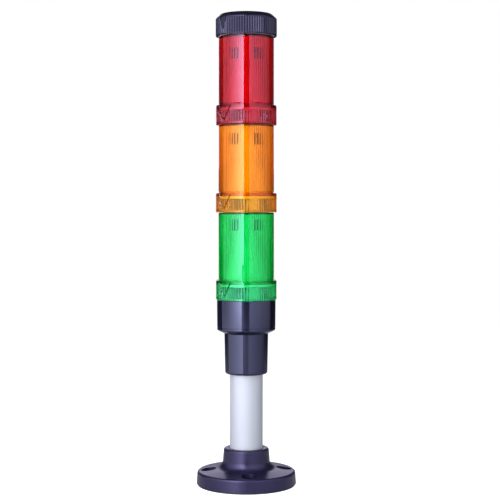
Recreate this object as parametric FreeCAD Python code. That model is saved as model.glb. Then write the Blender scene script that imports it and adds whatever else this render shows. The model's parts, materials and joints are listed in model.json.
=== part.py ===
import FreeCAD, Part
import math
import os

# Three-tier signal tower (stack light) on a 25 mm tube with a round screw-down foot.
# Millimetres, +Z up, front towards -Y, origin at the centre of the foot gasket's underside.

# ---------------------------------------------------------------- driving dimensions

COLOURS = ("green", "amber", "red")           # from the bottom tier to the top one

TUBE_RADIUS = 12.5
TUBE_BORE = 11.3
TUBE_BOTTOM = 5.0
TUBE_TOP = 109.0
FIT_GAP = 0.05                                # radial play of pieces that are fixed together

GASKET_THICKNESS = 1.2
GASKET_RADIUS = 36.9
CABLE_HOLE = 11.5                             # way through the foot under the tube

FOOT_RADIUS = 37.75
FOOT_RIM_RADIUS = 37.2
FOOT_RIM_HEIGHT = 8.8
FOOT_TOP_RADIUS = 35.5
FOOT_TOP_HEIGHT = 10.75
COLLAR_FOOT_RADIUS = 17.75
COLLAR_TOP_RADIUS = 17.15
COLLAR_TOP = 28.05
SCREW_CIRCLE = 57.0                           # diameter through the four foot screws
SCREW_HOLE = 2.3
SCREW_COUNTERBORE = 5.9
SCREW_SEAT_HEIGHT = 6.0
SCREW_ANGLE = -85.6                           # first foot screw, just right of the front
SET_SCREW_RADIUS = 2.0
FOOT_SET_SCREW_HEIGHT = 21.5

BASE_BOTTOM = 84.25
BASE_LOWER_RADIUS = 16.0
NECK_HEIGHT = 114.9
NECK_RADIUS = 16.55
BASE_RADIUS = 22.0
GROOVE_HEIGHT = 119.4                          # fine groove round the housing, above its step
GROOVE_DEPTH = 0.3
BASE_WALL = 2.0
BASE_TOP = 140.3
BASE_FLOOR = 118.3
BASE_SET_SCREW_HEIGHT = 100.0

FIRST_COLLAR = 140.6                          # underside of the green collar
PITCH = 65.65                                 # height of one light module
COLLAR_HEIGHT = 14.5
COLLAR_RADIUS = 22.85
COLLAR_BAND_RADIUS = 22.55                    # ribbed band between the two smooth lips
COLLAR_BAND_BOTTOM = 1.8
COLLAR_BAND_TOP = 10.3
COLLAR_BORE = 21.15
LENS_RADIUS = 20.85
LENS_BORE = 18.55
LENS_TOP = 65.35                              # above the module's own collar underside
LENS_ROOF = 0.9

CAP_RADIUS = 22.95
CAP_SKIRT_BOTTOM = 0.4
CAP_SHOULDER = 14.4
CAP_TOP_RADIUS = 19.5
CAP_TOP = 17.0

SPIGOT_RADIUS = 17.4
SPIGOT_BORE = 15.9
SPIGOT_TOP = 9.0                              # above the underside of the collar it enters
SPIGOT_FOOT = -0.3
SPIGOT_PLATE = 1.8
LUG_COUNT = 3
LUG_HALF_ANGLE = 13.0
LUG_REACH = 1.5
SPIGOT_LUG_BOTTOM = 5.4
SPIGOT_LUG_TOP = 8.2

RING_BORE = 19.3
RING_RADIUS = 20.8
RING_BOTTOM = 0.4
RING_TOP = 9.8
RING_LUG_BOTTOM = 2.2
RING_LUG_TOP = 5.0

SEAL_RADIUS = 18.02
SEAL_SECTION = 0.8
SEAL_HEIGHT = 1.0

CARRIER_RADIUS = 20.9
CARRIER_BOTTOM = 10.2
CARRIER_SHOULDER = 12.2
CARRIER_TOP = 13.0
POST_TOP = 19.0

BOARD_HALF_WIDTH = 13.0
BOARD_HALF_THICKNESS = 0.8
BOARD_SLOT = 0.85
BOARD_BOTTOM = 11.4
BOARD_TOP = 60.4

CONTACT_RADII = (3.4, 6.2, 9.0, 11.8, 14.6)   # five supply lines, in a row behind the board
PAD_HALF_ANGLE = 9.0
PAD_THICKNESS = 0.2
STRIP_HALF_WIDTH = 1.0
STRIP_HALF_THICKNESS = 0.25
STRIP_GAP = 0.05                               # room round a strip in its slot

LEG_ANGLES = (60.0, 120.0, 240.0, 300.0)      # latch legs of a module's spigot, inside the lens
LEG_HALF_ANGLE = 11.0
LEG_BOTTOM = -13.5
LEG_INSIDE = 16.2

DIFFUSER_RADIUS = 18.2
DIFFUSER_WALL = 0.6
DIFFUSER_TOP = 64.15
SLOT_GROUPS = 6                               # vent slots near the diffuser's top, in groups
SLOTS_IN_GROUP = 4
SLOT_STEP_ANGLE = 6.4
SLOT_HALF_ANGLE = 1.6
SLOT_HEIGHT = 8.4
SLOT_MIDDLE = {"green": 56.4, "amber": 54.5, "red": 52.0}

MARK_ANGLE = 223.0                            # raised arrow on the collars, left of the front
MARK_HALF_WIDTH = 6.2
CAP_MARK_ANGLE = 219.0
CAP_MARK_HALF_WIDTH = 4.0
MARK_PROUD = 0.1


# ---------------------------------------------------------------- shape helpers

def vector(x, y, z):
    return FreeCAD.Vector(x, y, z)


def revolved(outline):
    """Full turn about +Z of a closed outline of (radius, height) points.

    An entry ("arc", through, end) draws an arc from the last point instead of a straight edge.
    """
    start = vector(outline[0][0], 0, outline[0][1])
    here = start
    edges = []
    for entry in outline[1:]:
        if entry[0] == "arc":
            through = vector(entry[1][0], 0, entry[1][1])
            there = vector(entry[2][0], 0, entry[2][1])
            edges.append(Part.Arc(here, through, there).toShape())
        else:
            there = vector(entry[0], 0, entry[1])
            edges.append(Part.makeLine(here, there))
        here = there
    edges.append(Part.makeLine(here, start))
    face = Part.Face(Part.Wire(edges))
    return face.revolve(vector(0, 0, 0), vector(0, 0, 1), 360)


def cylinder(radius, bottom, top, x=0.0, y=0.0):
    return Part.makeCylinder(radius, top - bottom, vector(x, y, bottom))


def radial_cylinder(radius, inner, outer, height, angle):
    """Cylinder along a radius of the tower, from one distance to another."""
    shape = Part.makeCylinder(radius, outer - inner, vector(inner, 0, height), vector(1, 0, 0))
    return turned(shape, angle)


def box(x_range, y_range, z_range):
    corner = vector(x_range[0], y_range[0], z_range[0])
    size = [high - low for low, high in (x_range, y_range, z_range)]
    return Part.makeBox(size[0], size[1], size[2], corner)


def pipe(outer, inner, bottom, top):
    return cylinder(outer, bottom, top).cut(cylinder(inner, bottom - 1, top + 1))


def sector(inner, outer, start, end, bottom, top):
    """Part of a ring between two angles in degrees."""
    slice_shape = Part.makeCylinder(outer, top - bottom, vector(0, 0, bottom), vector(0, 0, 1), end - start)
    return turned(slice_shape, start).cut(cylinder(inner, bottom - 1, top + 1))


def turned(shape, angle):
    copy = shape.copy()
    copy.rotate(vector(0, 0, 0), vector(0, 0, 1), angle)
    return copy


def raised(shape, height):
    copy = shape.copy()
    copy.translate(vector(0, 0, height))
    return copy


def fused(shapes):
    return shapes[0].multiFuse(shapes[1:]).removeSplitter()


def around(count, first=0.0):
    """Evenly spaced angles of a full turn."""
    return [first + index * 360.0 / count for index in range(count)]


def save(name, shape):
    shape.exportStep(os.path.join("parts", name + ".step"))


# ---------------------------------------------------------------- foot and tube

def screw_places():
    places = []
    for angle in around(4, SCREW_ANGLE):
        x = SCREW_CIRCLE / 2 * math.cos(math.radians(angle))
        y = SCREW_CIRCLE / 2 * math.sin(math.radians(angle))
        places.append((x, y))
    return places


def foot_gasket():
    shape = cylinder(GASKET_RADIUS, 0, GASKET_THICKNESS)
    shape = shape.cut(cylinder(CABLE_HOLE, -1, GASKET_THICKNESS + 1))
    for x, y in screw_places():
        shape = shape.cut(cylinder(SCREW_HOLE, -1, GASKET_THICKNESS + 1, x, y))
    return shape


def foot():
    """Moulded flange with a collar for the tube, hollow and ribbed underneath."""
    shape = revolved([
        (CABLE_HOLE, GASKET_THICKNESS),
        (FOOT_RADIUS, GASKET_THICKNESS),
        (FOOT_RIM_RADIUS, FOOT_RIM_HEIGHT),
        ("arc", (36.64, 10.19), (FOOT_TOP_RADIUS, FOOT_TOP_HEIGHT)),
        (24.35, 12.4),
        ("arc", (19.68, 14.33), (COLLAR_FOOT_RADIUS, 19.0)),
        (COLLAR_TOP_RADIUS, COLLAR_TOP - 1.8),
        ("arc", (COLLAR_TOP_RADIUS - 0.53, COLLAR_TOP - 0.53), (COLLAR_TOP_RADIUS - 1.8, COLLAR_TOP)),
        (TUBE_RADIUS + 0.8, COLLAR_TOP),
        (TUBE_RADIUS + FIT_GAP, COLLAR_TOP - 0.75),
        (TUBE_RADIUS + FIT_GAP, TUBE_BOTTOM),
        (CABLE_HOLE, TUBE_BOTTOM),
    ])
    hollow = pipe(34.6, 16.6, GASKET_THICKNESS - 1, 7.6)
    for x, y in screw_places():
        hollow = hollow.cut(cylinder(SCREW_COUNTERBORE + 1.7, GASKET_THICKNESS - 2, 9, x, y))
    for angle in around(4, SCREW_ANGLE + 45):
        rib = box((15, 36), (-0.9, 0.9), (GASKET_THICKNESS - 2, 9))
        hollow = hollow.cut(turned(rib, angle))
    shape = shape.cut(hollow)
    for x, y in screw_places():
        shape = shape.cut(cylinder(SCREW_HOLE, 0, 20, x, y))
        shape = shape.cut(cylinder(SCREW_COUNTERBORE, SCREW_SEAT_HEIGHT, 20, x, y))
    return shape.cut(radial_cylinder(SET_SCREW_RADIUS + FIT_GAP, 12, 19, FOOT_SET_SCREW_HEIGHT, 90))


def set_screw(height, inner, outer, angle):
    """Headless screw with a hexagon socket, along a radius of the tower."""
    shape = radial_cylinder(SET_SCREW_RADIUS, inner, outer, height, angle)
    corners = []
    for corner in around(6):
        y = 1.15 * math.cos(math.radians(corner))
        z = height + 1.15 * math.sin(math.radians(corner))
        corners.append(vector(outer - 2.0, y, z))
    socket = Part.Face(Part.makePolygon(corners + [corners[0]])).extrude(vector(3, 0, 0))
    return shape.cut(turned(socket, angle))


def tube():
    return pipe(TUBE_RADIUS, TUBE_BORE, TUBE_BOTTOM, TUBE_TOP)


# ---------------------------------------------------------------- base

def base_housing():
    """Socket for the tube below, terminal chamber above."""
    shape = revolved([
        (TUBE_RADIUS + FIT_GAP, BASE_BOTTOM),
        (BASE_LOWER_RADIUS - 1.6, BASE_BOTTOM),
        ("arc", (BASE_LOWER_RADIUS - 0.47, BASE_BOTTOM + 0.47), (BASE_LOWER_RADIUS, BASE_BOTTOM + 1.6)),
        (NECK_RADIUS, NECK_HEIGHT),
        (BASE_RADIUS - 0.9, NECK_HEIGHT + 2.2),
        ("arc", (BASE_RADIUS - 0.25, NECK_HEIGHT + 2.7), (BASE_RADIUS, NECK_HEIGHT + 3.5)),
        (BASE_RADIUS, GROOVE_HEIGHT),
        (BASE_RADIUS - GROOVE_DEPTH, GROOVE_HEIGHT + 0.15),
        (BASE_RADIUS - GROOVE_DEPTH, GROOVE_HEIGHT + 0.45),
        (BASE_RADIUS, GROOVE_HEIGHT + 0.6),
        (BASE_RADIUS + 0.15, BASE_TOP),
        (BASE_RADIUS - BASE_WALL, BASE_TOP),
        (BASE_RADIUS - BASE_WALL, BASE_FLOOR),
        (10.5, BASE_FLOOR),
        (10.5, TUBE_TOP),
        (TUBE_RADIUS + FIT_GAP, TUBE_TOP),
    ])
    for angle in around(3, 30):
        boss = turned(cylinder(2.0, BASE_FLOOR - 0.1, BASE_FLOOR + 2.1, 16.5, 0), angle)
        shape = shape.fuse(boss)
    shape = shape.cut(pipe(14.1, 12, 88.2, 89.8))
    return shape.cut(radial_cylinder(SET_SCREW_RADIUS + FIT_GAP, 12, 20, BASE_SET_SCREW_HEIGHT, 90))


def tube_seal():
    return raised(Part.makeTorus(13.3, 0.7), 89.0)


BOARD_LEVEL = BASE_FLOOR + 2.1                 # underside of the base's circuit board
BOARD_FACE = BOARD_LEVEL + 2 * BOARD_HALF_THICKNESS
POLE_PITCH = 3.5
POLE_DEPTH = -12.0


def pole_places():
    return [(index - 2) * POLE_PITCH for index in range(5)]


def base_circuit_board():
    shape = cylinder(19.2, BOARD_LEVEL, BOARD_FACE)
    shape = shape.cut(cylinder(4.5, BOARD_LEVEL - 1, BOARD_FACE + 1, -9.5, 2.5))
    return shape.cut(strip_slots(BOARD_LEVEL - 1, BOARD_FACE + 1))


def strip_slots(bottom, top):
    """The five upright slots that contact strips pass through, with a little room round each strip."""
    half_width = STRIP_HALF_WIDTH + STRIP_GAP
    half_thickness = STRIP_HALF_THICKNESS + STRIP_GAP
    slots = []
    for radius in CONTACT_RADII:
        slots.append(box((-half_width, half_width), (radius - half_thickness, radius + half_thickness),
                         (bottom, top)))
    return Part.makeCompound(slots)


def terminal_block():
    shape = box((-9, 9), (-16, -8.5), (BOARD_FACE, BOARD_FACE + 9))
    for x in pole_places():
        shape = shape.cut(cylinder(1.35, BOARD_FACE + 4, BOARD_FACE + 10, x, POLE_DEPTH))
        pocket = box((x - 1.25, x + 1.25), (-13.9, -8), (BOARD_FACE + 1.4, BOARD_FACE + 4.8))
        shape = shape.cut(pocket)
    return shape


def terminal_clamps():
    clamps = []
    for x in pole_places():
        clamp = box((x - 1.1, x + 1.1), (-13.6, -10.4), (BOARD_FACE + 1.5, BOARD_FACE + 4.7))
        clamp = clamp.cut(box((x - 0.7, x + 0.7), (-14, -10), (BOARD_FACE + 1.9, BOARD_FACE + 3.3)))
        clamps.append(clamp.cut(cylinder(0.85, BOARD_FACE + 3, BOARD_FACE + 5, x, POLE_DEPTH)))
    return Part.makeCompound(clamps)


def terminal_screws():
    screws = []
    for x in pole_places():
        shank = cylinder(0.8, BOARD_FACE + 3.4, BOARD_FACE + 7, x, POLE_DEPTH)
        head = cylinder(1.25, BOARD_FACE + 6.8, BOARD_FACE + 8.2, x, POLE_DEPTH)
        slot = box((x - 1.4, x + 1.4), (POLE_DEPTH - 0.2, POLE_DEPTH + 0.2),
                   (BOARD_FACE + 7.6, BOARD_FACE + 9))
        screws.append(shank.fuse(head).cut(slot))
    return Part.makeCompound(screws)


# ---------------------------------------------------------------- bayonet coupling

def coupling_spigot(flanged):
    """Black collar on top of the base or a module: three lugs outside, contact plate on top."""
    shape = revolved([
        (SPIGOT_BORE, SPIGOT_FOOT),
        (SPIGOT_RADIUS, SPIGOT_FOOT),
        (SPIGOT_RADIUS, SEAL_HEIGHT - SEAL_SECTION),
        (SPIGOT_RADIUS - 0.2, SEAL_HEIGHT - SEAL_SECTION),
        (SPIGOT_RADIUS - 0.2, SEAL_HEIGHT + SEAL_SECTION),
        (SPIGOT_RADIUS, SEAL_HEIGHT + SEAL_SECTION),
        (SPIGOT_RADIUS, SPIGOT_TOP - 0.4),
        (SPIGOT_RADIUS - 0.4, SPIGOT_TOP),
        (0, SPIGOT_TOP),
        (0, SPIGOT_TOP - SPIGOT_PLATE),
        (SPIGOT_BORE, SPIGOT_TOP - SPIGOT_PLATE),
    ])
    pieces = [shape]
    for angle in around(LUG_COUNT):
        lug = sector(SPIGOT_RADIUS - 0.5, SPIGOT_RADIUS + LUG_REACH, angle - LUG_HALF_ANGLE,
                     angle + LUG_HALF_ANGLE, SPIGOT_LUG_BOTTOM, SPIGOT_LUG_TOP)
        stop = sector(SPIGOT_RADIUS - 0.5, SPIGOT_RADIUS + LUG_REACH, angle - LUG_HALF_ANGLE - 5,
                      angle - LUG_HALF_ANGLE - 1.2, 2.4, SPIGOT_LUG_TOP)
        bridge = sector(SPIGOT_RADIUS - 0.5, SPIGOT_RADIUS + LUG_REACH, angle - LUG_HALF_ANGLE - 2,
                        angle - LUG_HALF_ANGLE + 1, SPIGOT_LUG_BOTTOM, SPIGOT_LUG_TOP)
        pieces += [lug, stop, bridge]
    if flanged:
        pieces.append(pipe(BASE_RADIUS - BASE_WALL - FIT_GAP, SPIGOT_BORE, -3.1, SPIGOT_FOOT))
    else:
        pieces += latch_legs()
    shape = fused(pieces)
    return shape.cut(strip_slots(SPIGOT_TOP - SPIGOT_PLATE - 1, SPIGOT_TOP + 1))


def latch_legs():
    """Legs of a module's spigot that reach down through the lens roof and hook the lens."""
    legs = []
    for angle in LEG_ANGLES:
        legs.append(sector(LEG_INSIDE, SPIGOT_RADIUS, angle - LEG_HALF_ANGLE, angle + LEG_HALF_ANGLE,
                           LEG_BOTTOM, SPIGOT_FOOT + 0.2))
    return legs


def bayonet_ring():
    """Insert of a collar or of the cap, with three lugs that turn under those of the spigot."""
    pieces = [pipe(RING_RADIUS, RING_BORE, RING_BOTTOM, RING_TOP)]
    for angle in around(LUG_COUNT):
        pieces.append(sector(RING_BORE - LUG_REACH, RING_BORE + 0.5, angle - LUG_HALF_ANGLE,
                             angle + LUG_HALF_ANGLE, RING_LUG_BOTTOM, RING_LUG_TOP))
    return fused(pieces)


def coupling_seal():
    return raised(Part.makeTorus(SEAL_RADIUS, SEAL_SECTION), SEAL_HEIGHT)


def arrow_mark(radius, half_width, top, tip, angle):
    """Raised triangle pointing down that follows the collar's curve."""
    depth = radius - 1.5
    corners = [vector(depth, -half_width, top), vector(depth, half_width, top), vector(depth, 0.0, tip)]
    wedge = Part.Face(Part.makePolygon(corners + [corners[0]])).extrude(vector(4, 0, 0))
    return turned(wedge.common(cylinder(radius + MARK_PROUD, tip - 1, top + 1)), angle)


# ---------------------------------------------------------------- light module

def lens():
    """Coloured shell: wide collar at the bottom, plain cylinder above, closed by a slotted roof."""
    shape = revolved([
        (COLLAR_BORE, 0),
        (COLLAR_RADIUS - 0.5, 0),
        ("arc", (COLLAR_RADIUS - 0.15, 0.15), (COLLAR_RADIUS, 0.5)),
        (COLLAR_RADIUS, 1.5),
        (COLLAR_BAND_RADIUS, COLLAR_BAND_BOTTOM),
        (COLLAR_BAND_RADIUS, COLLAR_BAND_TOP),
        (COLLAR_RADIUS, COLLAR_BAND_TOP + 0.3),
        (COLLAR_RADIUS, COLLAR_HEIGHT - 0.8),
        ("arc", (COLLAR_RADIUS - 0.23, COLLAR_HEIGHT - 0.23), (COLLAR_RADIUS - 0.8, COLLAR_HEIGHT)),
        (LENS_RADIUS, COLLAR_HEIGHT),
        (LENS_RADIUS, LENS_TOP - 0.6),
        ("arc", (LENS_RADIUS - 0.18, LENS_TOP - 0.18), (LENS_RADIUS - 0.6, LENS_TOP)),
        (0, LENS_TOP),
        (0, LENS_TOP - LENS_ROOF),
        (LENS_BORE, LENS_TOP - LENS_ROOF),
        (LENS_BORE, CARRIER_SHOULDER),
        (COLLAR_BORE, CARRIER_SHOULDER),
    ])
    shape = shape.fuse(arrow_mark(COLLAR_RADIUS, MARK_HALF_WIDTH, 13.2, 2.5, MARK_ANGLE))
    for side in (0, 180):
        guide = box((9.0, 12.0), (-2.2, 2.2), (BOARD_TOP - 2.5, LENS_TOP - LENS_ROOF + 0.2))
        slot = box((8, 13), (-BOARD_SLOT, BOARD_SLOT), (BOARD_TOP - 3, BOARD_TOP + 0.1))
        shape = shape.fuse(turned(guide.cut(slot), side))
    strip_slot = box((-1.6, 1.6), (CONTACT_RADII[0] - 0.8, CONTACT_RADII[-1] + 0.8),
                     (LENS_TOP - 3, LENS_TOP + 1))
    shape = shape.cut(strip_slot)
    for angle in LEG_ANGLES:
        shape = shape.cut(sector(LEG_INSIDE - 0.15, SPIGOT_RADIUS + 0.1, angle - LEG_HALF_ANGLE - 0.5,
                                 angle + LEG_HALF_ANGLE + 0.5, LENS_TOP - 3, LENS_TOP + 1))
    return shape


def diffuser(slot_middle):
    """Thin milky tube around the circuit board, with groups of vent slots near its top."""
    slot_bottom = slot_middle - SLOT_HEIGHT / 2
    slot_top = slot_middle + SLOT_HEIGHT / 2
    shape = pipe(DIFFUSER_RADIUS, DIFFUSER_RADIUS - DIFFUSER_WALL, CARRIER_TOP, DIFFUSER_TOP)
    for middle in around(SLOT_GROUPS):
        for slot in range(SLOTS_IN_GROUP):
            angle = middle + (slot - (SLOTS_IN_GROUP - 1) / 2) * SLOT_STEP_ANGLE
            shape = shape.cut(sector(DIFFUSER_RADIUS - 2 * DIFFUSER_WALL, DIFFUSER_RADIUS + 1,
                                     angle - SLOT_HALF_ANGLE, angle + SLOT_HALF_ANGLE, slot_bottom, slot_top))
    return shape


def contact_carrier():
    """Floor of a module: holds the sprung contacts and the foot of the circuit board."""
    pieces = [cylinder(CARRIER_RADIUS, CARRIER_BOTTOM, CARRIER_SHOULDER),
              cylinder(LENS_BORE - 0.15, CARRIER_BOTTOM, CARRIER_TOP)]
    for side in (0, 180):
        pieces.append(turned(box((11.8, 14.4), (-2.4, 2.4), (CARRIER_BOTTOM, POST_TOP)), side))
    shape = fused(pieces)
    shape = shape.cut(box((-BOARD_HALF_WIDTH - 0.1, BOARD_HALF_WIDTH + 0.1), (-BOARD_SLOT, BOARD_SLOT),
                          (BOARD_BOTTOM - 0.1, POST_TOP + 1)))
    for radius in CONTACT_RADII:
        shape = shape.cut(cylinder(1.0 + FIT_GAP, CARRIER_BOTTOM - 1, CARRIER_SHOULDER, 0, radius))
    return shape.cut(strip_slots(CARRIER_SHOULDER - 0.5, CARRIER_TOP + 1))


def spring_contacts():
    """Five sprung pins that press on the contact plate of the tier below."""
    pins = []
    for radius in CONTACT_RADII:
        barrel = cylinder(1.0, CARRIER_BOTTOM - 0.3, CARRIER_SHOULDER, 0, radius)
        tip = cylinder(0.55, SPIGOT_TOP + PAD_THICKNESS + 0.3, CARRIER_BOTTOM, 0, radius)
        pins.append(barrel.fuse(tip))
    return Part.makeCompound(pins)


def bus_strips(bottom, plate_top):
    """Five upright strips, each with a curved contact pad on top of a contact plate."""
    strips = []
    for radius in CONTACT_RADII:
        upright = box((-STRIP_HALF_WIDTH, STRIP_HALF_WIDTH),
                      (radius - STRIP_HALF_THICKNESS, radius + STRIP_HALF_THICKNESS),
                      (bottom, plate_top + 0.1))
        pad = sector(radius - 0.8, radius + 0.8, 90 - PAD_HALF_ANGLE, 90 + PAD_HALF_ANGLE,
                     plate_top, plate_top + PAD_THICKNESS)
        strips.append(fused([upright, pad]))
    return Part.makeCompound(strips)


def circuit_board():
    return box((-BOARD_HALF_WIDTH, BOARD_HALF_WIDTH), (-BOARD_HALF_THICKNESS, BOARD_HALF_THICKNESS),
               (BOARD_BOTTOM, BOARD_TOP))


def leds():
    """Eight light-emitting diodes on each side of the board."""
    pieces = []
    for side in (0, 180):
        for x in (-4.5, 4.5):
            for z in (24.0, 32.0, 40.0, 48.0):
                body = box((x - 1.75, x + 1.75), (BOARD_HALF_THICKNESS, 2.7), (z - 1.4, z + 1.4))
                pieces.append(turned(body, side))
    return Part.makeCompound(pieces)


def board_components():
    """Bridge rectifier and series resistors on the front of the board."""
    pieces = [box((-2.4, 2.4), (-3.2, -BOARD_HALF_THICKNESS), (15.0, 19.2))]
    for x in (-10.0, 10.0):
        for z in (24.0, 32.0, 40.0, 48.0):
            pieces.append(box((x - 1.6, x + 1.6), (-1.45, -BOARD_HALF_THICKNESS), (z - 0.8, z + 0.8)))
    return Part.makeCompound(pieces)


def light_module(colour, level):
    pieces = {
        "lens": lens(),
        "diffuser": diffuser(SLOT_MIDDLE[colour]),
        "bayonet_ring": bayonet_ring(),
        "contact_carrier": contact_carrier(),
        "spring_contacts": spring_contacts(),
        "circuit_board": circuit_board(),
        "leds": leds(),
        "board_components": board_components(),
        "bus_strips": bus_strips(CARRIER_SHOULDER, PITCH + SPIGOT_TOP),
        "spigot": raised(coupling_spigot(False), PITCH),
        "seal": raised(coupling_seal(), PITCH),
    }
    for name, shape in pieces.items():
        save(colour + "_" + name, raised(shape, level))


# ---------------------------------------------------------------- cap

def cap():
    shape = revolved([
        (COLLAR_BORE, CAP_SKIRT_BOTTOM),
        (CAP_RADIUS - 0.5, CAP_SKIRT_BOTTOM),
        ("arc", (CAP_RADIUS - 0.15, CAP_SKIRT_BOTTOM + 0.15), (CAP_RADIUS, CAP_SKIRT_BOTTOM + 0.5)),
        (CAP_RADIUS, CAP_SHOULDER - 0.3),
        (CAP_RADIUS - 0.3, CAP_SHOULDER),
        (CAP_TOP_RADIUS, CAP_TOP),
        (0, CAP_TOP),
        (0, CAP_TOP - 2.7),
        (18.8, CAP_TOP - 2.7),
        (COLLAR_BORE, 11.6),
    ])
    return shape.fuse(arrow_mark(CAP_RADIUS, CAP_MARK_HALF_WIDTH, 13.2, 3.5, CAP_MARK_ANGLE))


# ---------------------------------------------------------------- whole tower

def main():
    os.makedirs("parts", exist_ok=True)
    save("foot_gasket", foot_gasket())
    save("foot", foot())
    save("foot_set_screw", set_screw(FOOT_SET_SCREW_HEIGHT, TUBE_RADIUS, 17.0, 90))
    save("tube", tube())
    save("tube_seal", tube_seal())
    save("base_housing", base_housing())
    save("base_set_screw", set_screw(BASE_SET_SCREW_HEIGHT, TUBE_RADIUS, 15.8, 90))
    save("base_circuit_board", base_circuit_board())
    save("terminal_block", terminal_block())
    save("terminal_clamps", terminal_clamps())
    save("terminal_screws", terminal_screws())
    save("base_bus_strips", bus_strips(BOARD_LEVEL, FIRST_COLLAR + SPIGOT_TOP))
    save("base_spigot", raised(coupling_spigot(True), FIRST_COLLAR))
    save("base_seal", raised(coupling_seal(), FIRST_COLLAR))
    for tier, colour in enumerate(COLOURS):
        light_module(colour, FIRST_COLLAR + tier * PITCH)
    cap_level = FIRST_COLLAR + len(COLOURS) * PITCH
    save("cap", raised(cap(), cap_level))
    save("cap_bayonet_ring", raised(bayonet_ring(), cap_level))


main()
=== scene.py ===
from collections import namedtuple
import json
import math

import bmesh
import bpy
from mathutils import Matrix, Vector

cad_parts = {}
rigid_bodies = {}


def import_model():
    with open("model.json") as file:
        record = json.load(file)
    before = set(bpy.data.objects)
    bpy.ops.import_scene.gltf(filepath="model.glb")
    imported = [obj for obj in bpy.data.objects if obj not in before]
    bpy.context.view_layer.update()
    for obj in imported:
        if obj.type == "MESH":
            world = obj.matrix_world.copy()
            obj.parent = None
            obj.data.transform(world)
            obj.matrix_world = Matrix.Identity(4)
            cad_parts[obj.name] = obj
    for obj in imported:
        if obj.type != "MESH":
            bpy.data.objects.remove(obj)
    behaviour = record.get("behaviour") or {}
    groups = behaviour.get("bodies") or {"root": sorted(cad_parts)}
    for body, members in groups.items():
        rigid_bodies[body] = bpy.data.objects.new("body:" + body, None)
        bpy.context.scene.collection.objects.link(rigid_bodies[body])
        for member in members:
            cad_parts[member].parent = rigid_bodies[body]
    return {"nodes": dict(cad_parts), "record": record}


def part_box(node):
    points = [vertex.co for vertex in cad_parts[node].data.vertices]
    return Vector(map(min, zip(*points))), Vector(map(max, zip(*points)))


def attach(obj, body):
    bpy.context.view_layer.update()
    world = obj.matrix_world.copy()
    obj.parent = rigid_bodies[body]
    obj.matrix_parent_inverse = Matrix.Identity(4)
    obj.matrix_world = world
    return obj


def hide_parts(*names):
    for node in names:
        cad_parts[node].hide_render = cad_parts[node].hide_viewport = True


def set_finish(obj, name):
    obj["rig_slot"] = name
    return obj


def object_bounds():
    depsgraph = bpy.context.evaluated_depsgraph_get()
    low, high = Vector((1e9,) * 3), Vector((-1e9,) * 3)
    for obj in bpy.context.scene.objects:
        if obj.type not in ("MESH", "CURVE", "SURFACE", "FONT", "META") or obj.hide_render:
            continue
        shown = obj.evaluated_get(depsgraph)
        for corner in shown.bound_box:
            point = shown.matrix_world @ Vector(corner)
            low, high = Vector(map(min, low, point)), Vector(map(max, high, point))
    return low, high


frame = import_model()
cad_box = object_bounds()
nodes = frame["nodes"]

MM = 0.001
TIERS = ("green", "amber", "red")

# Ribs, flutes and grooves all repeat at the same pitch round the tower.
RIBS = 72
STEPS_PER_RIB = 8
SEGMENTS = RIBS * STEPS_PER_RIB
RIB_DEPTH = 0.55 * MM                       # ribs of the cap and grooves of a lens collar
FLUTE_DEPTH = 0.35 * MM                     # fine upright grooves in a lens bore
FLUTE_HALF_WIDTH = 0.32 * MM
GROOVE_DEPTH = 0.40 * MM                    # fine upright grooves of a diffuser
BAND_STEP = 0.25 * MM                       # spacing of points up a collar's side

COLLAR_RADIUS = 22.85 * MM
LENS_BORE = 18.55 * MM
CAP_RADIUS = 22.95 * MM
COLLAR_SIDE = 22.0 * MM                     # only the outside of a collar or the cap lies beyond this radius
SAME_RADIUS = 0.05 * MM                     # how near a radius counts as the same one
SAME_POINT = 1e-7
SHARP_EDGE = math.radians(50)
ROUNDING_STEPS = 5

# Raised arrow: where it points from the axis, half its width, and its top and tip above the collar's foot.
Arrow = namedtuple("Arrow", "angle half_width top tip")
LENS_ARROW = Arrow(math.radians(223), 6.2 * MM, 13.2 * MM, 2.5 * MM)
CAP_ARROW = Arrow(math.radians(219), 4.0 * MM, 13.0 * MM, 3.5 * MM)

# Vent slots of a diffuser: six groups of four, angles in degrees, heights above the lens's foot.
SLOT_MIDDLE = {"green": 56.4 * MM, "amber": 54.5 * MM, "red": 52.0 * MM}
SLOT_HEIGHT = 8.4 * MM
SLOT_GROUP_ANGLE = 60
SLOTS_IN_GROUP = 4
SLOT_STEP_ANGLE = 6.4
SLOT_HALF_ANGLE = 1.6
DIFFUSER_WALL = 0.6 * MM


# ---------------------------------------------------------------- mesh helpers

def bottom_of(node):
    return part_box(node)[0].z


def rounded_outline(corners, level):
    """Closed outline in metres from (radius, height, rounding) corners in millimetres above a level."""
    points = []
    count = len(corners)
    for index, (radius, height, rounding) in enumerate(corners):
        corner = Vector((radius, height))
        if rounding == 0:
            points.append(corner)
            continue
        before = Vector(corners[index - 1][:2]) - corner
        after = Vector(corners[(index + 1) % count][:2]) - corner
        start = corner + before.normalized() * rounding
        end = corner + after.normalized() * rounding
        for step in range(ROUNDING_STEPS + 1):
            t = step / ROUNDING_STEPS
            points.append(start * (1 - t) ** 2 + corner * 2 * t * (1 - t) + end * t * t)
    return [(point.x * MM, point.y * MM + level) for point in points]


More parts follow.
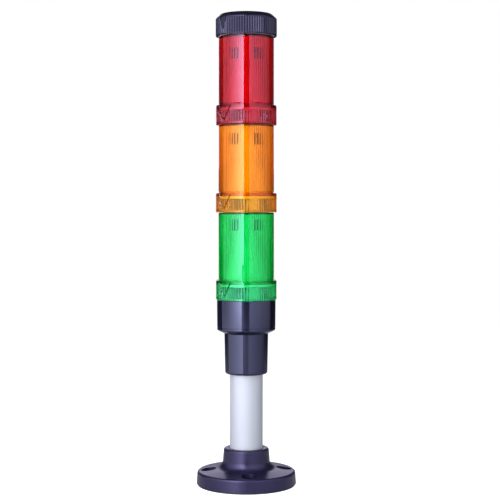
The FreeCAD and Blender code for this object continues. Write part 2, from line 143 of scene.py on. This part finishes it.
def lathe(name, outline, surface, open_step=None, bands=()):
    """Mesh turned about the tower's axis.

    surface(angle, radius, height) gives a point's own radius and height. Where open_step(step) holds, the
    wall is open between the two outline edges in bands, outside and inside, with faces round the opening.
    """
    vertices = []
    faces = []
    for step in range(SEGMENTS):
        angle = 2 * math.pi * step / SEGMENTS
        for outline_radius, outline_height in outline:
            radius, height = surface(angle, outline_radius, outline_height)
            vertices.append((radius * math.cos(angle), radius * math.sin(angle), height))
    count = len(outline)
    for step in range(SEGMENTS):
        here = step * count
        there = (step + 1) % SEGMENTS * count
        is_open = open_step is not None and open_step(step)
        for index in range(count):
            following = (index + 1) % count
            if not (is_open and index in bands):
                faces.append((here + index, there + index, there + following, here + following))
        if open_step is None:
            continue
        outside, inside = bands
        if is_open != open_step((step + 1) % SEGMENTS):
            faces.append((there + outside, there + outside + 1, there + inside, there + inside + 1))
        if is_open:
            faces.append((here + outside, there + outside, there + inside + 1, here + inside + 1))
            faces.append((here + outside + 1, there + outside + 1, there + inside, here + inside))
    mesh = bpy.data.meshes.new(name)
    mesh.from_pydata(vertices, [], faces)
    work = bmesh.new()
    work.from_mesh(mesh)
    bmesh.ops.remove_doubles(work, verts=work.verts, dist=SAME_POINT)
    bmesh.ops.dissolve_degenerate(work, edges=work.edges, dist=SAME_POINT)
    bmesh.ops.recalc_face_normals(work, faces=work.faces)
    work.to_mesh(mesh)
    work.free()
    mesh.shade_smooth()
    mesh.set_sharp_from_angle(angle=SHARP_EDGE)
    piece = bpy.data.objects.new(name, mesh)
    bpy.context.scene.collection.objects.link(piece)
    return piece


def smooth_step(low, high, value):
    t = min(max((value - low) / (high - low), 0.0), 1.0)
    return t * t * (3 - 2 * t)


# ---------------------------------------------------------------- lenses, diffusers and cap

def rib(angle):
    """Height of the ribs at an angle, from 0 in a groove to 1 on a crest."""
    return abs(math.cos(RIBS / 2 * angle))


def flute(angle, radius):
    """Depth share of fine V grooves at an angle, 1 along each groove's middle."""
    pitch = 2 * math.pi / RIBS
    off_middle = radius * abs(math.remainder(angle - pitch / 2, pitch))
    return max(1 - off_middle / FLUTE_HALF_WIDTH, 0.0)


def arrow_distance(arrow, across, up):
    """Distance to the arrow, a triangle that points down, below zero inside it."""
    length = arrow.top - arrow.tip
    side = math.hypot(arrow.half_width, length)
    beside = (abs(across) * length - arrow.half_width * (up - arrow.tip)) / side
    return max(beside, up - arrow.top)


def collar_surface(level, radius, band, arrow, groove):
    """Surface function of a collar: ribbed band, raised arrow with a moat, and a notch in the arrow's top."""
    moat = 0.45 * MM
    slope = 0.2 * MM
    band_edge = 0.4 * MM
    floor = radius - 0.8 * MM
    proud = radius + 0.1 * MM
    skin = radius - 0.5 * MM
    notch_half_width = 2.3 * MM
    notch_depth = 0.5 * MM
    notch_bottom = arrow.top - 1.3 * MM
    notch_top = arrow.top - 0.3 * MM

    def surface(angle, here, height):
        if here < skin:
            return here, height
        up = height - level
        across = radius * math.remainder(angle - arrow.angle, 2 * math.pi)
        distance = arrow_distance(arrow, across, up)
        above_foot = smooth_step(band[0], band[0] + band_edge, up)
        below_top = 1 - smooth_step(band[1] - band_edge, band[1], up)
        ribbed = here - above_foot * below_top * RIB_DEPTH * groove(angle)
        if distance > moat + slope or up < arrow.tip - 2 * MM or up > arrow.top + 0.5 * MM:
            return ribbed, height
        if distance > moat:
            return floor + (ribbed - floor) * (distance - moat) / slope, height
        if distance > 0:
            return floor, height
        mark = floor + (proud - floor) * min(-distance / slope, 1.0)
        if abs(across) < notch_half_width and notch_bottom < up < notch_top:
            mark -= notch_depth
        return mark, height

    return surface


def make_lens(tier):
    """Coloured shell with its collar. The body stands on the collar in a fine root groove."""
    node = tier + "_lens"
    level = bottom_of(node)
    collar_top = level + 14.4 * MM
    collar = [
        (21.15, 0.0, 0.3), (22.85, 0.0, 0.5), (22.85, 1.5, 0), (22.8, 1.8, 0),
        (22.8, 10.3, 0), (22.85, 10.6, 0), (22.85, 14.5, 0.8),
    ]
    root_groove = [(20.4, 14.5, 0), (20.4, 15.2, 0), (20.85, 15.5, 0.2)]
    body = [(20.85, 65.35, 0.6), (17.5, 65.35, 0.2), (17.5, 64.45, 0.2)]
    bore = [(18.55, 64.45, 0.3), (18.55, 12.2, 0.3), (21.15, 12.2, 0.3)]
    outline = rounded_outline(collar + root_groove + body + bore, level)
    outline = refined_between(outline, level, collar_top, BAND_STEP)
    ribbed_band = (1.5 * MM, 10.5 * MM)
    collar_outside = collar_surface(level, COLLAR_RADIUS, ribbed_band, LENS_ARROW,
                                    lambda angle: flute(angle, COLLAR_RADIUS))

    def surface(angle, radius, height):
        if abs(radius - LENS_BORE) < SAME_RADIUS and height > level + 13 * MM:
            return radius + FLUTE_DEPTH * flute(angle, radius), height
        if radius > COLLAR_SIDE and height < collar_top:
            return collar_outside(angle, radius, height)
        return radius, height

    piece = lathe(tier + "_lens_shell", outline, surface)
    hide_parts(node)
    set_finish(piece, tier + "_lens")
    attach(piece, tier + "_module")


def refined_between(outline, low, high, spacing):
    """The outline with extra points up the outside of a collar or the cap, between two heights."""
    points = []
    for index, (radius, height) in enumerate(outline):
        points.append((radius, height))
        next_radius, next_height = outline[(index + 1) % len(outline)]
        between = min(height, next_height) >= low and max(height, next_height) <= high
        parts = 1
        if between and radius > COLLAR_SIDE:
            parts = math.ceil(abs(next_height - height) / spacing)
        for part in range(1, parts):
            share = part / parts
            points.append((radius + (next_radius - radius) * share, height + (next_height - height) * share))
    return points


def make_diffuser(tier):
    """White tube with fine upright grooves outside and groups of slots near its top."""
    node = tier + "_diffuser"
    level = bottom_of(tier + "_lens")
    low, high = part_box(node)
    outside = high.x
    inside = outside - DIFFUSER_WALL
    slot_low = level + SLOT_MIDDLE[tier] - SLOT_HEIGHT / 2
    slot_high = level + SLOT_MIDDLE[tier] + SLOT_HEIGHT / 2
    outline = [
        (inside, low.z), (outside, low.z), (outside, slot_low), (outside, slot_high),
        (outside, high.z), (inside, high.z), (inside, slot_high), (inside, slot_low),
    ]

    flat_share = 0.6                        # a groove is where the rib is lower than this

    def surface(angle, radius, height):
        if radius > inside + 0.1 * MM:
            return radius - GROOVE_DEPTH * (1 - min(rib(angle) / flat_share, 1.0)), height
        return radius, height

    def in_slot(step):
        """Whether a step round the tube lies in one of the slots."""
        from_middle = math.remainder(360 * (step + 0.5) / SEGMENTS, SLOT_GROUP_ANGLE)
        for slot in range(SLOTS_IN_GROUP):
            slot_angle = (slot - (SLOTS_IN_GROUP - 1) / 2) * SLOT_STEP_ANGLE
            if abs(from_middle - slot_angle) < SLOT_HALF_ANGLE:
                return True
        return False

    slot_edges = (2, 6)
    piece = lathe(tier + "_diffuser_tube", outline, surface, in_slot, slot_edges)
    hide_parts(node)
    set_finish(piece, "diffuser")
    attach(piece, tier + "_module")


def make_cap():
    """Ribbed cap with a double chamfer, hollow below."""
    level = bottom_of("cap")
    side = [(21.15, 0.0, 0.3), (22.95, 0.0, 0.5), (22.95, 12.9, 0.3)]
    top = [(22.35, 13.8, 0.3), (19.5, 16.5, 0.8), (0.0, 16.6, 0)]
    hollow = [(0.0, 13.9, 0), (18.8, 13.9, 0.5), (21.15, 11.2, 0.5)]
    outline = rounded_outline(side + top + hollow, level)
    outline = refined_between(outline, level, level + 14 * MM, BAND_STEP)
    ribbed_band = (0.5 * MM, 12.7 * MM)
    surface = collar_surface(level, CAP_RADIUS, ribbed_band, CAP_ARROW, lambda angle: 1 - rib(angle))
    piece = lathe("cap_shell", outline, surface)
    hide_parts("cap")
    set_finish(piece, "cap_plastic")
    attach(piece, "cap_cover")


# ---------------------------------------------------------------- materials

def new_material(name):
    material = bpy.data.materials.new(name)
    material.use_nodes = True
    return material, material.node_tree, material.node_tree.nodes["Principled BSDF"]


def object_noise(tree, scale, detail, stretch=(1, 1, 1)):
    coordinates = tree.nodes.new("ShaderNodeTexCoord")
    mapping = tree.nodes.new("ShaderNodeMapping")
    noise = tree.nodes.new("ShaderNodeTexNoise")
    mapping.inputs["Scale"].default_value = stretch
    noise.inputs["Scale"].default_value = scale
    noise.inputs["Detail"].default_value = detail
    tree.links.new(coordinates.outputs["Object"], mapping.inputs["Vector"])
    tree.links.new(mapping.outputs["Vector"], noise.inputs["Vector"])
    return noise.outputs["Fac"]


def ramp(tree, value, low, high):
    """Maps a 0 to 1 value to a range."""
    node = tree.nodes.new("ShaderNodeMapRange")
    node.inputs["To Min"].default_value = low
    node.inputs["To Max"].default_value = high
    tree.links.new(value, node.inputs["Value"])
    return node.outputs["Result"]


def colour_between(tree, value, first, second):
    node = tree.nodes.new("ShaderNodeMix")
    node.data_type = "RGBA"
    node.inputs["A"].default_value = (*first, 1)
    node.inputs["B"].default_value = (*second, 1)
    tree.links.new(value, node.inputs["Factor"])
    return node.outputs["Result"]


def bump(tree, shader, height, distance, strength=1.0):
    node = tree.nodes.new("ShaderNodeBump")
    node.inputs["Distance"].default_value = distance
    node.inputs["Strength"].default_value = strength
    tree.links.new(height, node.inputs["Height"])
    tree.links.new(node.outputs["Normal"], shader.inputs["Normal"])


def moulded_plastic(name, colour, roughness, grain=0.00002, tint=(1, 1, 1), gloss=0.5):
    """Moulded plastic with a fine grain, grain metres deep, and slow changes of colour and roughness."""
    material, tree, shader = new_material(name)
    shader.inputs["Specular IOR Level"].default_value = gloss
    shader.inputs["Specular Tint"].default_value = (*tint, 1)
    cloud = object_noise(tree, 60, 3)
    fine = object_noise(tree, 2500, 2)
    darker = tuple(channel * 0.8 for channel in colour)
    lighter = tuple(channel * 1.15 for channel in colour)
    tree.links.new(colour_between(tree, cloud, darker, lighter), shader.inputs["Base Color"])
    tree.links.new(ramp(tree, cloud, roughness * 0.8, roughness * 1.2), shader.inputs["Roughness"])
    bump(tree, shader, fine, grain)
    return material


def tinted_lens(name, passed, density, tint, roughness=0.008):
    """Clear coloured polycarbonate: passed is the colour it lets through, deeper where it is thicker."""
    material, tree, shader = new_material(name)
    shader.inputs["Specular Tint"].default_value = (*tint, 1)
    shader.inputs["Base Color"].default_value = (1, 1, 1, 1)
    shader.inputs["Transmission Weight"].default_value = 1.0
    shader.inputs["IOR"].default_value = 1.49
    fine = object_noise(tree, 300, 2)
    tree.links.new(ramp(tree, fine, roughness, roughness + 0.006), shader.inputs["Roughness"])
    volume = tree.nodes.new("ShaderNodeVolumeAbsorption")
    volume.inputs["Color"].default_value = (*passed, 1)
    volume.inputs["Density"].default_value = density
    output = tree.nodes["Material Output"]
    tree.links.new(volume.outputs["Volume"], output.inputs["Volume"])
    return material


def ribbed_plastic(name, valley_shade, crest, roughness):
    """Plastic of the bayonet rings: fine upright ribs as a bump, with painted shade darkening the valleys
    between them.
    """
    material, tree, shader = new_material(name)
    coordinates = tree.nodes.new("ShaderNodeTexCoord")
    split = tree.nodes.new("ShaderNodeSeparateXYZ")
    angle = tree.nodes.new("ShaderNodeMath")
    angle.operation = "ARCTAN2"
    turns = tree.nodes.new("ShaderNodeMath")
    turns.operation = "MULTIPLY"
    turns.inputs[1].default_value = RIBS
    wave = tree.nodes.new("ShaderNodeMath")
    wave.operation = "SINE"
    share = tree.nodes.new("ShaderNodeMapRange")
    share.inputs["From Min"].default_value = -0.6
    share.inputs["From Max"].default_value = 0.6
    tree.links.new(coordinates.outputs["Object"], split.inputs["Vector"])
    tree.links.new(split.outputs["Y"], angle.inputs[0])
    tree.links.new(split.outputs["X"], angle.inputs[1])
    tree.links.new(angle.outputs["Value"], turns.inputs[0])
    tree.links.new(turns.outputs["Value"], wave.inputs[0])
    tree.links.new(wave.outputs["Value"], share.inputs["Value"])
    # Base colour runs from painted shade in the valleys to the ring's own grey on the crests.
    tree.links.new(colour_between(tree, share.outputs["Result"], valley_shade, crest), shader.inputs["Base Color"])
    cloud = object_noise(tree, 60, 3)
    tree.links.new(ramp(tree, cloud, roughness * 0.8, roughness * 1.2), shader.inputs["Roughness"])
    bump(tree, shader, share.outputs["Result"], 0.0002)
    return material


def metal(name, colour, roughness, stretch=(1, 1, 1)):
    """Satin metal with fine marks, drawn out along an axis where its stretch is small."""
    material, tree, shader = new_material(name)
    shader.inputs["Metallic"].default_value = 1.0
    lines = object_noise(tree, 800, 4, stretch)
    darker = tuple(channel * 0.9 for channel in colour)
    tree.links.new(colour_between(tree, lines, darker, colour), shader.inputs["Base Color"])
    tree.links.new(ramp(tree, lines, roughness - 0.05, roughness + 0.07), shader.inputs["Roughness"])
    bump(tree, shader, lines, 0.00001, 0.4)
    return material


BLUE_SHEEN = (0.66, 0.67, 1.0)
VIOLET_SHEEN = (0.62, 0.56, 1.0)
DULL_SHEEN = (0.55, 0.50, 0.79)
# Painted shade for the valleys between the grey rings' ribs; the crest colour is the rings' own grey.
PAINTED_VALLEY_SHADE = (0.09, 0.09, 0.09)
GREY_CREST = (0.62, 0.62, 0.61)
ALONG_TUBE = (1, 1, 0.02)

LOOKS = {
    "black_plastic": moulded_plastic("black_plastic_look", (0.004, 0.004, 0.012), 0.10, 0.000004,
                                     tint=BLUE_SHEEN, gloss=0.7),
    "cap_plastic": moulded_plastic("cap_plastic_look", (0.004, 0.004, 0.009), 0.22, 0.000008,
                                   tint=DULL_SHEEN, gloss=0.6),
    "foot_plastic": moulded_plastic("foot_plastic_look", (0.005, 0.004, 0.015), 0.34, 0.000012,
                                    tint=VIOLET_SHEEN, gloss=0.62),
    "inner_plastic": moulded_plastic("inner_plastic_look", (0.015, 0.015, 0.017), 0.35),
    "terminal_plastic": moulded_plastic("terminal_plastic_look", (0.05, 0.25, 0.10), 0.4),
    "grey_plastic": ribbed_plastic("grey_plastic_look", PAINTED_VALLEY_SHADE, GREY_CREST, 0.35),
    "white_plastic": moulded_plastic("white_plastic_look", (0.80, 0.80, 0.79), 0.35),
    "rubber": moulded_plastic("rubber_look", (0.012, 0.012, 0.012), 0.7),
    "component": moulded_plastic("component_look", (0.03, 0.03, 0.032), 0.5),
    "board": moulded_plastic("board_look", (0.015, 0.10, 0.04), 0.3),
    "led": moulded_plastic("led_look", (0.82, 0.80, 0.55), 0.2),
    "diffuser": moulded_plastic("diffuser_look", (0.82, 0.82, 0.81), 0.45),
    "aluminium": metal("aluminium_look", (0.53, 0.54, 0.56), 0.76, ALONG_TUBE),
    "steel": metal("steel_look", (0.55, 0.56, 0.58), 0.35),
    "brass": metal("brass_look", (0.80, 0.58, 0.25), 0.25),
    "red_lens": tinted_lens("red_lens_look", (0.915, 0.0, 0.055), 1800, (0.8, 0.68, 0.95)),
    "amber_lens": tinted_lens("amber_lens_look", (0.97, 0.79, 0.0), 1500, (1.0, 0.85, 0.45)),
    "green_lens": tinted_lens("green_lens_look", (0.03, 0.905, 0.55), 1150, (0.45, 0.9, 0.9)),
}


def dress():
    """Gives every piece and every CAD node the look of its material slot."""
    slot_of = {part["node"]: part["material_slot"] for part in frame["record"]["subparts"]}
    for node, piece in nodes.items():
        piece.material_slots[0].material = LOOKS[slot_of[node]]
    for piece in bpy.context.scene.objects:
        if piece.type == "MESH" and "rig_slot" in piece:
            piece.data.materials.clear()
            piece.data.materials.append(LOOKS[piece["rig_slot"]])


# ---------------------------------------------------------------- studio

def make_floor():
    """Pale floor, darker far from the tower so that it doesn't light it, and glowing only for the camera."""
    mesh = bpy.data.meshes.new("floor")
    size = 6.0
    clear_of_object = 0.0002
    pale = (0.5, 0.5, 0.5)
    dark = (0.02, 0.02, 0.02)
    pale_centre = (0, -0.45, 0)
    pale_within = 0.7
    dark_beyond = 1.3
    corners = [(-size, -size, 0), (size, -size, 0), (size, size, 0), (-size, size, 0)]
    mesh.from_pydata(corners, [], [(0, 1, 2, 3)])
    floor = bpy.data.objects.new("floor", mesh)
    floor.location.z = cad_box[0].z - clear_of_object
    bpy.context.scene.collection.objects.link(floor)
    material, tree, shader = new_material("floor_look")
    shader.inputs["Roughness"].default_value = 0.8
    shader.inputs["Emission Color"].default_value = (1, 1, 1, 1)
    coordinates = tree.nodes.new("ShaderNodeTexCoord")
    distance = tree.nodes.new("ShaderNodeVectorMath")
    distance.operation = "DISTANCE"
    distance.inputs[1].default_value = pale_centre
    tree.links.new(coordinates.outputs["Object"], distance.inputs[0])
    far = tree.nodes.new("ShaderNodeMapRange")
    far.interpolation_type = "SMOOTHSTEP"
    far.inputs["From Min"].default_value = pale_within
    far.inputs["From Max"].default_value = dark_beyond
    tree.links.new(distance.outputs["Value"], far.inputs["Value"])
    tree.links.new(colour_between(tree, far.outputs["Result"], pale, dark), shader.inputs["Base Color"])
    path = tree.nodes.new("ShaderNodeLightPath")
    glow = tree.nodes.new("ShaderNodeMath")
    glow.operation = "MULTIPLY"
    tree.links.new(path.outputs["Is Camera Ray"], glow.inputs[0])
    tree.links.new(ramp(tree, far.outputs["Result"], 0.85, 1.0), glow.inputs[1])
    tree.links.new(glow.outputs["Value"], shader.inputs["Emission Strength"])
    mesh.materials.append(material)


def curved_softbox(name, near, far, near_radiance, far_radiance, fade, colour, lower, upper, boost=1.0):
    """Glowing strip round the tower between two azimuths, and between two (distance, height) edges.

    Azimuth 0 is in front, and 90 is to the right. The glow falls from the near azimuth to the far one.
    Rays that have passed through a lens see it boosted.
    """
    columns = 32
    vertices = []
    radiances = []
    for column in range(columns + 1):
        share = column / columns
        angle = math.radians(near + (far - near) * share)
        for distance, height in (lower, upper):
            vertices.append((distance * math.sin(angle), -distance * math.cos(angle), height))
            radiances.append(far_radiance + (near_radiance - far_radiance) * (1 - share) ** fade)
    faces = [(2 * column, 2 * column + 1, 2 * column + 3, 2 * column + 2) for column in range(columns)]
    mesh = bpy.data.meshes.new(name)
    mesh.from_pydata(vertices, [], faces)
    strength = mesh.attributes.new("radiance", "FLOAT", "POINT")
    strength.data.foreach_set("value", radiances)
    screen = bpy.data.objects.new(name, mesh)
    bpy.context.scene.collection.objects.link(screen)
    material = bpy.data.materials.new(name)
    material.use_nodes = True
    tree = material.node_tree
    tree.nodes.clear()
    attribute = tree.nodes.new("ShaderNodeAttribute")
    attribute.attribute_name = "radiance"
    path = tree.nodes.new("ShaderNodeLightPath")
    product = tree.nodes.new("ShaderNodeMath")
    product.operation = "MULTIPLY"
    emission = tree.nodes.new("ShaderNodeEmission")
    emission.inputs["Color"].default_value = (*colour, 1)
    output = tree.nodes.new("ShaderNodeOutputMaterial")
    tree.links.new(attribute.outputs["Fac"], product.inputs[0])
    tree.links.new(ramp(tree, path.outputs["Is Transmission Ray"], 1.0, boost), product.inputs[1])
    tree.links.new(product.outputs["Value"], emission.inputs["Strength"])
    tree.links.new(emission.outputs["Emission"], output.inputs["Surface"])
    mesh.materials.append(material)
    screen.visible_camera = False


def softbox(name, azimuth, distance, width, height, centre_height, radiance, colour=(1, 1, 1)):
    """Upright area light that faces the tower. Azimuth 0 is in front, and 90 is to the right."""
    light = bpy.data.lights.new(name, "AREA")
    light.shape = "RECTANGLE"
    light.size = width
    light.size_y = height
    light.energy = radiance * width * height * math.pi
    light.color = colour
    lamp = bpy.data.objects.new(name, light)
    angle = math.radians(azimuth)
    lamp.location = (distance * math.sin(angle), -distance * math.cos(angle), centre_height)
    lamp.rotation_euler = (math.radians(90), 0, angle)
    lamp.visible_camera = False
    bpy.context.scene.collection.objects.link(lamp)


def make_lights():
    """Key light on the left, fill on the right, each with a card on the floor, and a light behind."""
    key = (0.86, 0.89, 1.0)
    fill = (0.86, 0.87, 1.0)
    violet = (0.84, 0.80, 1.0)
    wall_foot = (1.2, 0.0)
    wall_step = (1.2, 0.06)
    wall_top = (1.2, 2.2)
    card_edge = (0.35, 0.001)
    card_back = (1.2, 0.001)
    curved_softbox("key_screen", -10, -110, 13.5, 1.0, 2.6, key, wall_step, wall_top)
    curved_softbox("key_screen_foot", -18, -110, 12.0, 1.0, 2.4, key, wall_foot, wall_step)
    curved_softbox("key_card", -18, -110, 5.0, 1.2, 1.1, key, card_edge, card_back)
    curved_softbox("fill_screen", 12, 108, 2.7, 0.4, 0.8, fill, wall_foot, wall_top, 1.9)
    curved_softbox("fill_card", 12, 108, 2.0, 0.2, 0.8, fill, card_edge, card_back)
    softbox("backdrop_light", 183, 1.5, 0.95, 0.72, 0.64, 1.9, violet)


def make_world():
    """White surroundings: full for the camera, less through a lens, and faint for all other light."""
    seen_through_lens = 0.82
    other_light = 0.05
    world = bpy.data.worlds.new("studio")
    bpy.context.scene.world = world
    world.use_nodes = True
    tree = world.node_tree
    tree.nodes.clear()
    path = tree.nodes.new("ShaderNodeLightPath")
    seen = tree.nodes.new("ShaderNodeBackground")
    other = tree.nodes.new("ShaderNodeBackground")
    mix = tree.nodes.new("ShaderNodeMixShader")
    output = tree.nodes.new("ShaderNodeOutputWorld")
    through = ramp(tree, path.outputs["Is Transmission Ray"], other_light, seen_through_lens)
    tree.links.new(through, other.inputs["Strength"])
    seen.inputs["Color"].default_value = (1, 1, 1, 1)
    seen.inputs["Strength"].default_value = 1.0
    other.inputs["Color"].default_value = (0.9, 0.93, 1, 1)
    tree.links.new(path.outputs["Is Camera Ray"], mix.inputs["Fac"])
    tree.links.new(other.outputs["Background"], mix.inputs[1])
    tree.links.new(seen.outputs["Background"], mix.inputs[2])
    tree.links.new(mix.outputs["Shader"], output.inputs["Surface"])


def make_camera():
    distance = 0.955
    height = 0.2118
    tilt_down = 2.04
    turn_right = 0.168
    camera = bpy.data.objects.new("camera", bpy.data.cameras.new("camera"))
    camera.data.lens = 91.1
    camera.data.sensor_width = 36
    camera.location = (0, -distance, height)
    camera.rotation_euler = (math.radians(90 - tilt_down), 0, math.radians(-turn_right))
    bpy.context.scene.collection.objects.link(camera)
    bpy.context.scene.camera = camera


for tier_name in TIERS:
    make_lens(tier_name)
    make_diffuser(tier_name)
make_cap()
dress()
make_floor()
make_lights()
make_world()
make_camera()
bpy.context.scene.view_settings.view_transform = "Standard"
